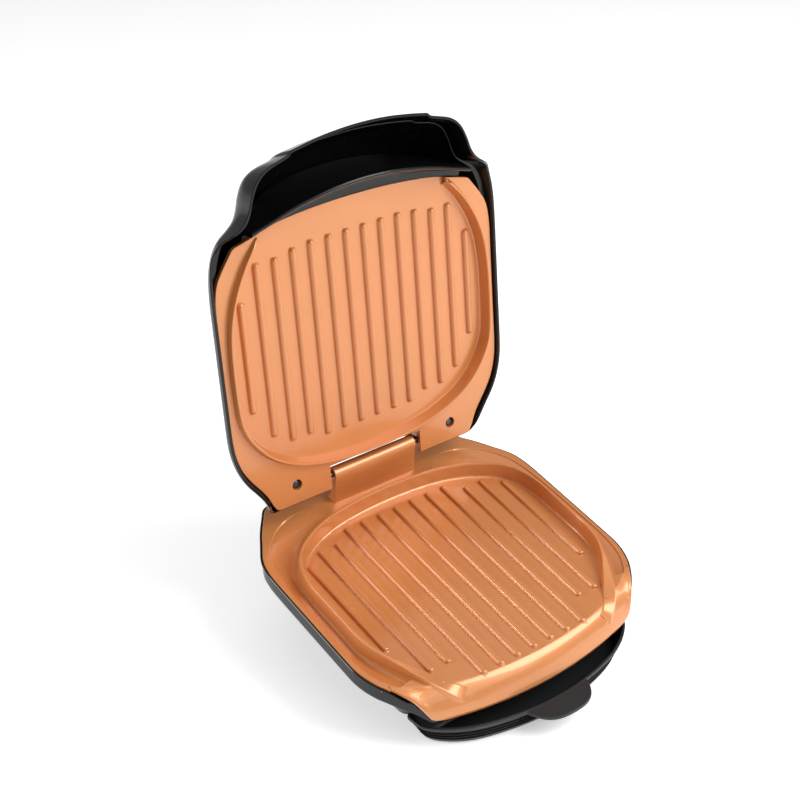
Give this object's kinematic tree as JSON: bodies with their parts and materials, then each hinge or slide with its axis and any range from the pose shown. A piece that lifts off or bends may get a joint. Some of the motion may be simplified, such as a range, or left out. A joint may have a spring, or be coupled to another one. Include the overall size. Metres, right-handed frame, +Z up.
{
  "type": "sandwich maker",
  "caption": "Small clamshell contact grill standing open: black domed lid and base, copper-coloured ribbed plates, floating hinge, drip tray under the sloping lip.",
  "frame": {"origin": "on the table under the middle of the open grill's bounding box", "axes": "+Z up, -Y towards the front lip and the drip tray, +X to the right seen from the front"},
  "size_m": [0.2038, 0.2404, 0.3034],
  "materials": {
    "gloss_black": "moulded, high gloss",
    "satin_black": "moulded, satin",
    "copper_nonstick": "copper-coloured ceramic non-stick, satin with a metallic sheen",
    "rubber_black": "moulded, matte",
    "steel": "drawn, dull",
    "aluminium_sheet": "rolled sheet",
    "ceramic_white": "unglazed, matte",
    "amber_lens": "clear amber, polished"
  },
  "bodies": {
    "base": {"base_housing": "gloss_black", "base_cover": "satin_black", "foot_front_left": "rubber_black", "foot_front_right": "rubber_black", "foot_rear_left": "rubber_black", "foot_rear_right": "rubber_black", "foot_screw_front_left": "steel", "foot_screw_front_right": "steel", "foot_screw_rear_left": "steel", "foot_screw_rear_right": "steel", "lower_grill_plate": "copper_nonstick", "lower_heating_element": "steel", "lower_heat_reflector": "aluminium_sheet", "thermostat": "ceramic_white", "thermal_fuse": "aluminium_sheet", "terminal_block": "ceramic_white", "cord_inlet": "rubber_black"},
    "hinge_pin": {"hinge_pin": "steel"},
    "lid": {"lid_housing": "gloss_black", "lid_front_baffle": "gloss_black", "lid_grill_plate": "copper_nonstick", "lid_heating_element": "steel", "lid_heat_reflector": "aluminium_sheet", "lid_screw_left": "steel", "lid_screw_right": "steel", "indicator_lens": "amber_lens", "indicator_lamp": "ceramic_white"},
    "drip_tray": {"drip_tray": "satin_black"}
  },
  "joints": [
    {"name": "lid_hinge", "type": "hinge", "parent": "base", "child": "hinge_pin", "pos_m": [0, 0.07276, 0.08405], "axis": [1, 0, 0], "range_deg": [0, 105.78]},
    {"name": "lid_float", "type": "slide", "parent": "hinge_pin", "child": "lid", "axis": [0, -0.9939, 0.1107], "range_m": [0, 0.0075]},
    {"name": "tray_slide", "type": "slide", "parent": "base", "child": "drip_tray", "axis": [0, -1, 0], "range_m": [0, 0.1]}
  ]
}
